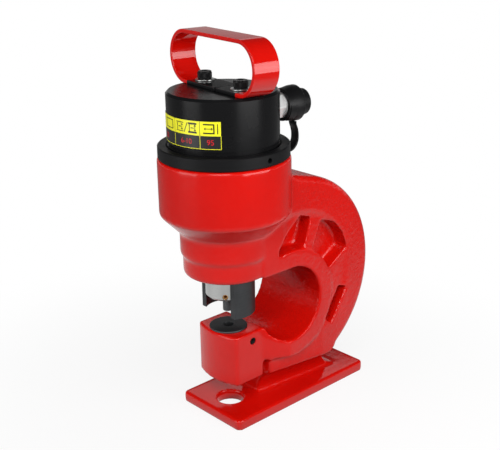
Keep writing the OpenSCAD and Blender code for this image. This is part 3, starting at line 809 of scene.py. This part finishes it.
class PUNCH_OT_handle(bpy.types.Operator):
    """Bent strip handle, red on the loop and black on the feet"""

    bl_idname = "punch.handle"
    bl_label = "Handle"

    def execute(self, context):
        width = sizes().strip_width
        thick = FOOT_TOP - CAP_TOP
        straight = sizes().strip_half
        split = 0.0085
        gap = 0.001
        bend = (HANDLE_TOP - CAP_TOP) / 2
        bm = bmesh.new()
        corners = [(-width / 2, 0), (width / 2, 0), (width / 2, thick), (-width / 2, thick)]
        face = bm.faces.new([bm.verts.new((split + gap, y, z)) for y, z in corners])
        face = self.run(bm, face, straight - split - gap)
        face = self.bend(bm, face, (straight, 0, bend))
        face = self.run(bm, face, -2 * straight)
        face = self.bend(bm, face, (-straight, 0, bend))
        self.run(bm, face, straight + split - gap)
        inner = [f for f in bm.faces if all(len(e.link_faces) > 2 for e in f.edges)]
        bmesh.ops.delete(bm, geom=inner, context="FACES_ONLY")
        face_out(bm)
        bevel(bm, sharp_edges(bm, angle=60), sizes().strip_edge, segments=3)
        handle = as_object("handle_strip", bm, HEAD @ Matrix.Translation((0, 0, CAP_TOP)))
        shade(handle)
        put(handle, "frame", "handle_red", self.paint(), "handle")
        return {"FINISHED"}

    def run(self, bm, face, length):
        """Extrudes the strip's end straight along X."""
        made = bmesh.ops.extrude_face_region(bm, geom=[face])["geom"]
        end = of_kind(made, bmesh.types.BMFace)[0]
        bmesh.ops.translate(bm, vec=(length, 0, 0), verts=end.verts)
        return end

    def bend(self, bm, face, centre):
        """Turns the strip's end by half a turn, upwards on the right and downwards on the left."""
        made = spin(bm, [face], centre, (0, -1, 0), math.pi, steps=24)
        return of_kind(made, bmesh.types.BMFace)[0]

    def paint(self):
        """Gloss red, with black feet below the loop."""
        shine = 0.42
        foot_height = 0.012
        material, surface, place, _ = gloss_red("handle_red", peel=2e-5, shine=shine, smooth=0.06, rough=0.1)
        link(facing_up(place, shine, 0.12), surface["Specular IOR Level"])
        axes = axes_of(turned_place(place, HEAD))
        inside = maths("LESS_THAN", maths("ABSOLUTE", axes["X"]), sizes().foot_reach)
        low = maths("LESS_THAN", axes["Z"], CAP_TOP + foot_height)
        foot = maths("MULTIPLY", inside, low)
        base = surface["Base Color"]
        link(mix(foot, fed_by(base), tint(colours().black, 1.0)), base)
        return material


class PUNCH_OT_machined(bpy.types.Operator):
    """Machined pieces with eased edges, outside and in"""

    bl_idname = "punch.machined"
    bl_label = "Machined pieces"

    def execute(self, context):
        edge = sizes().steel_edge
        for nodes, body, slot, material, share in (
            ("cylinder_cap", "frame", "black_steel", "cap_black", 2),
            ("lock_ring", "frame", "black_steel", "ring_black", 1.5),
            ("die", "frame", "tool_steel", "tool_dark", 1),
            ("stripper", "frame", "stripper_steel", "stripper_dark", 1.5),
            ("punch", "ram", "tool_steel", "tool_dark", 1),
            ("ram", "ram", "ram_steel", "ram_bright", 1.5),
            ("punch_screw", "ram", "brass", "screw_brass", 0.5),
            ("die_screw stripper_screw", "frame", "tool_steel", "screw_black", 0.5),
            ("handle_screw_left handle_screw_right", "frame", "black_screw", "screw_black", 1),
            ("handle_washer_left handle_washer_right", "frame", "zinc", "washer_bright", 1),
            ("coupler_adapter coupler_body", "frame", "coupler_steel", "coupler_bright", 1),
            ("coupler_poppet", "poppet", "brass", "poppet_brass", 1),
            ("port_seal", "frame", "bronze", "poppet_brass", 0.5),
            ("rod_bush", "frame", "bronze", "screw_brass", 1),
            ("piston", "ram", "ram_steel", "ram_bright", 1),
            ("piston_nut", "ram", "tool_steel", "tool_dark", 1),
            ("wear_ring", "ram", "bronze", "screw_brass", 1),
            ("rod_wiper", "frame", "seal_rubber", "black_rubber", 1),
            ("piston_seal", "ram", "seal_rubber", "black_rubber", 1),
        ):
            for node in nodes.split():
                put(eased(node, share * edge), body, slot, finish(material), node)
        for side in ("left", "right"):
            self.knurl("handle_screw_" + side)
        for node, way, _, mouth in SET_SCREWS:
            self.thread(node, way, mouth)
        seal = NODES["coupler_seal"]
        seal.data.materials.clear()
        seal.data.materials.append(finish("black_rubber"))
        return {"FINISHED"}

    def thread(self, node, way, mouth):
        """The bare thread in a set screw's hole, outside the screw."""
        place, radius = screw_hole(node, way, True)
        turns = 6
        gap = 0.0001
        depth = 0.0005
        pitch = (abs(mouth - abs(place.translation.x)) - 2 * gap) / turns
        outline = [(radius, gap, 0)]
        for k in range(turns):
            outline.append((radius - depth, gap + (k + 0.5) * pitch, 0))
            outline.append((radius - gap, gap + (k + 1) * pitch, 0))
        outline.append((radius, gap + turns * pitch, 0))
        bare = as_object(node + "_thread", turned(outline, steps=48), place)
        put(bare, "frame", "tool_steel", finish("screw_black"))

    def knurl(self, node):
        """A band of straight knurling around a screw's head."""
        low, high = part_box(node)
        centre = (low + high) / 2
        lift = 0.0002
        groove = 0.0003
        drop = 0.0068
        radius = (high.x - low.x) / 2 + lift
        bm = bmesh.new()
        ring = bmesh.ops.create_circle(bm, segments=80, radius=radius)["verts"]
        shrink = (radius - groove) / radius
        bmesh.ops.scale(bm, vec=(shrink, shrink, 1), verts=ring[::2])
        edges = bm.edges[:]
        for rise, share in ((0.0004, 1.03), (0.0046, 1.0), (0.0004, 0.97)):
            grown = bmesh.ops.extrude_edge_only(bm, edges=edges)["geom"]
            verts = of_kind(grown, bmesh.types.BMVert)
            edges = of_kind(grown, bmesh.types.BMEdge)
            bmesh.ops.translate(bm, vec=(0, 0, rise), verts=verts)
            bmesh.ops.scale(bm, vec=(share, share, 1), verts=verts)
        fill_holes(bm)
        face_out(bm)
        place = Matrix.Translation((centre.x, centre.y, high.z - drop))
        put(as_object(node + "_knurl", bm, place), "frame", "black_screw", finish("screw_black"))


class PUNCH_OT_springs(bpy.types.Operator):
    """Return spring and coupler spring"""

    bl_idname = "punch.springs"
    bl_label = "Springs"

    def execute(self, context):
        low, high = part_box("return_spring")
        height = high.z - low.z
        seat = Matrix.Translation((0, 0, low.z))
        spring = self.coil("return_coil", seat, height, radius=0.03175, wire=0.0032, turns=5)
        put(spring, "frame", "spring_steel", finish("spring_grey"), "return_spring")
        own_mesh(spring)
        near = 0.0755
        length = 0.007
        seat = PORT @ Matrix.Translation((0, 0, near))
        spring = self.coil("coupler_coil", seat, length, radius=0.005, wire=0.00035, turns=2)
        put(spring, "frame", "spring_steel", finish("spring_grey"), "coupler_spring")
        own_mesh(spring)
        return {"FINISHED"}

    def coil(self, name, place, height, radius, wire, turns):
        """Round wire with one closed turn at each end, standing on the XY plane of its place."""
        lead = (height - 6 * wire) / turns
        steps = 32
        curve = bpy.data.curves.new(name, "CURVE")
        curve.dimensions = "3D"
        curve.bevel_depth = wire
        curve.bevel_resolution = 3
        curve.use_fill_caps = True
        line = curve.splines.new("POLY")
        line.points.add((turns + 2) * steps)
        for k, point in enumerate(line.points):
            t = k / steps
            rise = wire + 2 * wire * min(t, 1) + lead * max(0, min(t - 1, turns))
            rise += 2 * wire * max(0, t - 1 - turns)
            angle = FULL_TURN * t
            point.co = (radius * math.cos(angle), radius * math.sin(angle), rise, 1)
        mesh = curve_mesh(curve)
        mesh.transform(place)
        mesh.shade_smooth()
        return new_object(name, mesh)


class PUNCH_OT_label(bpy.types.Operator):
    """Printed film around the cap: three yellow heads over three framed cells"""

    bl_idname = "punch.label"
    bl_label = "Label"

    def execute(self, context):
        skin = CAP_R + 0.00043
        turn = math.radians(-131)
        span = math.radians(88) * skin
        height = LABEL_HIGH - LABEL_LOW
        split = 0.0131
        line = 0.0005
        film_depth = 0.0004
        number_size = 0.0074
        edges = [0.0, math.radians(35.7) * skin, math.radians(67.0) * skin, span]
        wrap = (skin, turn)
        film = bmesh.new()
        self.tile(film, 0, span, 0, height, -film_depth, 0)
        self.place(film, "label_film", wrap, "film_black", "label_plate")
        heads = bmesh.new()
        frames = bmesh.new()
        for left, right in zip(edges, edges[1:]):
            self.tile(heads, left + line / 2, right - line / 2, split, height, 0, PRINT)
        for x in edges:
            start = min(max(x - line / 2, 0), span - line)
            self.tile(frames, start, start + line, 1.02 * line, split, 0, PRINT)
        self.tile(frames, 0, span, 0, line, 0, PRINT)
        self.place(heads, "label_heads", wrap, "ink_yellow")
        self.place(frames, "label_frames", wrap, "ink_yellow")
        marks = bmesh.new()
        middle = split + (height - split) / 2
        centres = [(left + right) / 2 for left, right in zip(edges, edges[1:])]
        for draw, x in zip((self.bore_mark, self.plate_mark, self.throat_mark), centres):
            draw(marks, x, middle)
        self.thicken(marks, marks.faces[:], INK / 2)
        self.place(marks, "label_marks", wrap, "ink_black")
        numbers = bmesh.new()
        for text, x in zip(("20", "6-10", "95"), centres):
            self.write(numbers, text, x, split / 2, number_size)
        self.thicken(numbers, numbers.faces[:], INK / 2)
        self.place(numbers, "label_numbers", wrap, "ink_red")
        return {"FINISHED"}

    def sheet(self, bm, place, length, width, step):
        """A flat sheet about the middle of its place, cut fine enough along X to bend."""
        size = Matrix.Diagonal((length, width, 1, 1))
        cuts = max(1, round(length / step))
        return bmesh.ops.create_grid(bm, x_segments=cuts, y_segments=1, size=0.5, matrix=place @ size)

    def tile(self, bm, left, right, low, high, back, front):
        """A flat closed tile."""
        step = 0.0015
        centre = Matrix.Translation(((left + right) / 2, (low + high) / 2, back))
        made = self.sheet(bm, centre, right - left, high - low, step)
        faces = list({f for v in made["verts"] for f in v.link_faces})
        self.thicken(bm, faces, front - back)

    def thicken(self, bm, faces, depth):
        """Closes flat faces into a thin solid."""
        bmesh.ops.reverse_faces(bm, faces=faces)
        grown = bmesh.ops.extrude_face_region(bm, geom=faces, use_keep_orig=True)["geom"]
        verts = of_kind(grown, bmesh.types.BMVert)
        bmesh.ops.translate(bm, vec=(0, 0, depth), verts=verts)

    def ring(self, bm, x, y, outer, inner):
        """A flat ring."""
        made = bmesh.ops.create_circle(
            bm, segments=28, radius=outer, cap_ends=True, matrix=Matrix.Translation((x, y, INK))
        )
        face = made["verts"][0].link_faces[0]
        bmesh.ops.inset_region(bm, faces=[face], thickness=outer - inner, use_even_offset=True)
        bmesh.ops.delete(bm, geom=[face], context="FACES_ONLY")

    def bar(self, bm, x, y, length, width, angle=0.0):
        """A flat bar about its centre."""
        step = 0.001
        place = Matrix.Translation((x, y, INK)) @ Matrix.Rotation(angle, 4, "Z")
        self.sheet(bm, place, length, width, step)

    def arrow(self, bm, x, y, length, angle):
        """A double arrow about its centre."""
        thin = 0.0006
        barb_length = 0.0018
        way = Vector((math.cos(angle), math.sin(angle)))
        self.bar(bm, x, y, length, thin, angle)
        for end in (-1, 1):
            for side in (-1, 1):
                lean = angle + side * math.radians(35)
                tip = Vector((x, y)) + end * way * length / 2
                barb = tip - end * Vector((math.cos(lean), math.sin(lean))) * barb_length / 2
                self.bar(bm, barb.x, barb.y, barb_length, thin, lean)

    def bore_mark(self, bm, x, y):
        """The sign for a diameter, and a hole in a bar beside it."""
        self.ring(bm, x - 0.008, y, 0.0034, 0.0026)
        self.bar(bm, x - 0.008, y, 0.0105, 0.0007, math.radians(52))
        self.ring(bm, x + 0.007, y, 0.0022, 0.0015)
        for side in (-1, 1):
            self.bar(bm, x + 0.007, y + side * 0.0042, 0.015, 0.0009)
        for step in (-0.0072, 0.0072):
            self.bar(bm, x + 0.007 + step, y, 0.0084, 0.0009, math.pi / 2)

    def plate_mark(self, bm, x, y):
        """A thin and a thick plate, each with its thickness arrow, and a stroke between them."""
        for side, thick in ((-1, 0.0008), (1, 0.0018)):
            centre = x + side * 0.0078
            for rise in (-0.0042, 0.0042):
                self.bar(bm, centre, y + rise, 0.0095, thick)
            self.bar(bm, centre - 0.0032, y, 0.0066, 0.0008, math.pi / 2)
            self.bar(bm, centre, y, 0.0038, 0.0008)
            self.arrow(bm, centre + 0.0029, y, 0.006, math.pi / 2)
        self.bar(bm, x, y, 0.0105, 0.0008, math.radians(66))

    def throat_mark(self, bm, x, y):
        """A throat with the arrow of its depth, and a plate beside it."""
        for rise in (-0.0042, 0.0042):
            self.bar(bm, x - 0.0014, y + rise, 0.011, 0.0013)
        self.bar(bm, x + 0.0036, y, 0.0084, 0.0013, math.pi / 2)
        self.arrow(bm, x - 0.0018, y, 0.0082, 0.0)
        self.bar(bm, x + 0.0072, y, 0.0097, 0.0009, math.pi / 2)

    def write(self, bm, text, x, y, size):
        """Plain numbers, centred."""
        letters = bpy.data.curves.new("numbers", "FONT")
        letters.body = text
        letters.size = size
        letters.align_x = "CENTER"
        letters.align_y = "CENTER"
        mesh = curve_mesh(letters)
        mesh.transform(Matrix.Translation((x, y, INK)))
        bm.from_mesh(mesh)
        bpy.data.meshes.remove(mesh)

    def place(self, bm, name, wrap, material, *nodes):
        """Bends a flat print round the cap and puts it there."""
        skin, turn = wrap
        for v in bm.verts:
            angle = turn + v.co.x / skin
            reach = skin + v.co.z
            v.co = (reach * math.cos(angle), reach * math.sin(angle), LABEL_LOW + v.co.y)
        put(as_object(name, bm), "frame", "label", finish(material), *nodes)


class PUNCH_OT_dust_cap(bpy.types.Operator):
    """Rubber dust cap with a finger collar, a grip pad and a round end"""

    bl_idname = "punch.dust_cap"
    bl_label = "Dust cap"

    def execute(self, context):
        start = 0.0705
        # Body and collar, then the round end, then the inside
        outline = [(0.0139, start, 0.0005), (0.0172, start, 0.0009), (0.0174, 0.077, 0.004)]
        outline += [(0.019, 0.0835, 0.003), (0.019, 0.0908, 0.0012), (0.0135, 0.0912, 0.0003)]
        outline += [(0.0135, 0.0921, 0.0003), (0.0142, 0.0921, 0.0008), (0.014, 0.1025, 0.0028)]
        outline += [(0.0075, 0.1025, 0.0006), (0.0068, 0.1018, 0.0006), (0.0, 0.1018, 0)]
        outline += [(0.0, 0.0918, 0), (0.0109, 0.0918, 0.0004), (0.0109, 0.0803, 0.0003)]
        outline += [(0.0139, 0.0803, 0.0003)]
        bm = turned(outline)
        self.pad(bm, start)
        cap = as_object("dust_cap_moulded", bm, PORT)
        shade(cap)
        put(cap, "dust_cap", "dust_rubber", finish("black_rubber"), "dust_cap")
        return {"FINISHED"}

    def pad(self, bm, start):
        """A raised grip pad on the right of the body."""
        low = start + 0.0014
        high = start + 0.0105
        edge = 0.0005
        outline = [(0.0165, low), (0.0181, low + edge), (0.0184, high - edge), (0.017, high)]
        turn = Matrix.Rotation(math.radians(-4), 4, "Z")
        face = bm.faces.new([bm.verts.new(turn @ Vector((r, 0, z))) for r, z in outline])
        spin(bm, [face], (0, 0, 0), (0, 0, 1), math.radians(66), steps=16)
        face_out(bm)


class PUNCH_OT_dust_strap(bpy.types.Operator):
    """Rubber strap that keeps the dust cap on the coupler's neck"""

    bl_idname = "punch.dust_strap"
    bl_label = "Dust strap"

    def execute(self, context):
        mesh = self.loop()
        inner = 0.0113
        outer = 0.0139
        back = NECK + 0.0003
        front = NECK + 0.0032
        outline = [(inner, back, 0.0005), (outer, back, 0.0008)]
        outline += [(outer, front, 0.0008), (inner, front, 0.0005)]
        bm = turned(outline, steps=48)
        bm.from_mesh(mesh)
        bpy.data.meshes.remove(mesh)
        bmesh.ops.remove_doubles(bm, verts=bm.verts, dist=CLOSE)
        fill_holes(bm)
        face_out(bm)
        strap = as_object("dust_strap_moulded", bm, PORT)
        strap.data.shade_smooth()
        strap.data.materials.append(finish("black_rubber"))
        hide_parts("dust_strap")
        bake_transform(strap)
        return {"FINISHED"}

    def loop(self):
        """The flat band from the cap's collar down and back to the ring on the neck."""
        span = COLLAR - NECK
        hang = 0.0307
        collar_drop = 0.0193
        ring_drop = 0.0139
        # Shares of the span and of the hang
        collar_run = [(1, 0), (1, 0.08), (1.066, 0.27), (1.098, 0.5), (1.07, 0.72), (0.967, 0.89)]
        collar_run += [(0.803, 0.99), (0.639, 0.97), (0.525, 0.84), (0.469, 0.64), (0.433, 0.42)]
        ring_run = [(0.36, 0.4), (0.246, 0.2), (0.082, 0)]
        points = [(NECK + s * span, collar_drop + d * hang) for s, d in collar_run]
        points += [(NECK + s * span, ring_drop + d * hang) for s, d in ring_run]
        curve = bpy.data.curves.new("strap_line", "CURVE")
        curve.dimensions = "2D"
        curve.fill_mode = "NONE"
        curve.extrude = 0.0048
        curve.bevel_depth = 0.0012
        curve.bevel_resolution = 3
        line = curve.splines.new("BEZIER")
        line.bezier_points.add(len(points) - 1)
        for point, (along, drop) in zip(line.bezier_points, points):
            point.co = (along, drop, 0)
            point.handle_left_type = "AUTO"
            point.handle_right_type = "AUTO"
        line.resolution_u = 6
        mesh = curve_mesh(curve)
        mesh.transform(Matrix(((0, 0, 1, 0), (0, 1, 0, 0), (1, 0, 0, 0), (0, 0, 0, 1))))
        lean = 0.007
        lean_start = NECK + 0.8 * span
        lean_end = NECK + 0.43 * span
        for vertex in mesh.vertices:
            share = (lean_start - vertex.co.z) / (lean_start - lean_end)
            vertex.co.x -= lean * max(0.0, min(1.0, share))
        return mesh


class PUNCH_PT_looks(bpy.types.Panel):
    """The operators that dress the hole punch"""

    bl_label = "Hole punch"
    bl_idname = "PUNCH_PT_looks"
    bl_space_type = "VIEW_3D"
    bl_region_type = "UI"
    bl_category = "Hole punch"

    def draw(self, context):
        for name in PIECES:
            self.layout.operator("punch." + name)
        for group in (context.scene.punch_sizes, context.scene.punch_colours):
            box = self.layout.box()
            for key in group.__annotations__:
                box.prop(group, key)


PIECES = ("stage", "casting", "handle", "machined", "springs", "label", "dust_cap", "dust_strap")
SETTINGS = {"punch_sizes": PunchSizes, "punch_colours": PunchColours, "punch_stage": PunchStage}
CLASSES = (
    *SETTINGS.values(),
    PUNCH_OT_stage,
    PUNCH_OT_casting,
    PUNCH_OT_handle,
    PUNCH_OT_machined,
    PUNCH_OT_springs,
    PUNCH_OT_label,
    PUNCH_OT_dust_cap,
    PUNCH_OT_dust_strap,
    PUNCH_PT_looks,
)


def register():
    """Adds the classes and the scene's settings."""
    for cls in CLASSES:
        bpy.utils.register_class(cls)
    for name, group in SETTINGS.items():
        setattr(bpy.types.Scene, name, PointerProperty(type=group))


def unregister():
    """Removes the settings and the classes."""
    for name in SETTINGS:
        delattr(bpy.types.Scene, name)
    for cls in reversed(CLASSES):
        bpy.utils.unregister_class(cls)


def main():
    """Builds the whole object."""
    register()
    for name in PIECES:
        getattr(bpy.ops.punch, name)()


if __name__ == "__main__":
    main()
